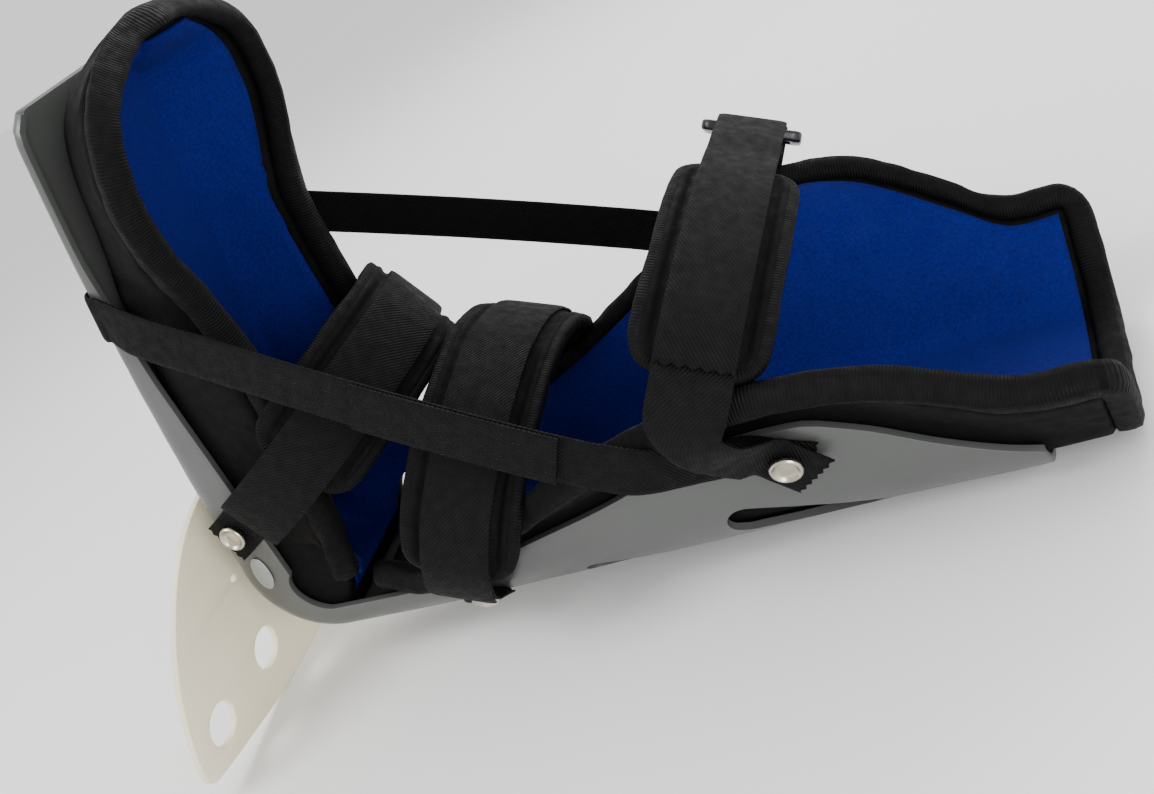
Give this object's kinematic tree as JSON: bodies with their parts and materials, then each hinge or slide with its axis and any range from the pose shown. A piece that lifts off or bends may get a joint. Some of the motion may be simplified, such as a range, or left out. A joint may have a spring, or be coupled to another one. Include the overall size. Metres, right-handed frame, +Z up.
{
  "type": "plantar fasciitis night splint",
  "caption": "Rigid foot and calf trough with padded liners, padded straps, a sole tension strap and a stabiliser plate",
  "frame": {"origin": "middle of the bottom of the bounding box, on the surface the splint rests on", "axes": "+X from the stabiliser plate towards the knee end, +Y across the splint, +Z up"},
  "size_m": [0.4186, 0.2, 0.2913],
  "materials": {
    "shell": "glossy mid grey moulded plastic",
    "plate": "smooth ivory sheet plastic",
    "fabric": "charcoal black padded fabric and ribbed binding",
    "lining": "royal blue brushed knit lining",
    "webbing": "black twill webbing",
    "loop": "black moulded plastic",
    "rivet": "nickel plated rivet cap",
    "label": "blank silver oval label"
  },
  "bodies": {
    "root": {"shell": "shell", "foot_pad": "fabric", "foot_binding": "fabric", "foot_lining": "lining", "calf_pad": "fabric", "calf_binding": "fabric", "calf_lining": "lining", "forefoot_rivet_near": "rivet", "forefoot_rivet_far": "rivet", "ankle_rivet_near": "rivet", "ankle_rivet_far": "rivet", "calf_rivet_near": "rivet", "calf_rivet_far": "rivet", "forefoot_strap_pad": "fabric", "forefoot_strap_webbing": "webbing", "ankle_strap_pad": "fabric", "ankle_strap_webbing": "webbing", "calf_strap_pad": "fabric", "calf_strap_webbing": "webbing", "calf_strap_anchor": "webbing", "calf_strap_loop": "loop", "tension_strap": "webbing", "stabiliser_plate": "plate", "plate_spacer_near": "shell", "plate_spacer_far": "shell", "side_label": "label"}
  },
  "joints": []
}
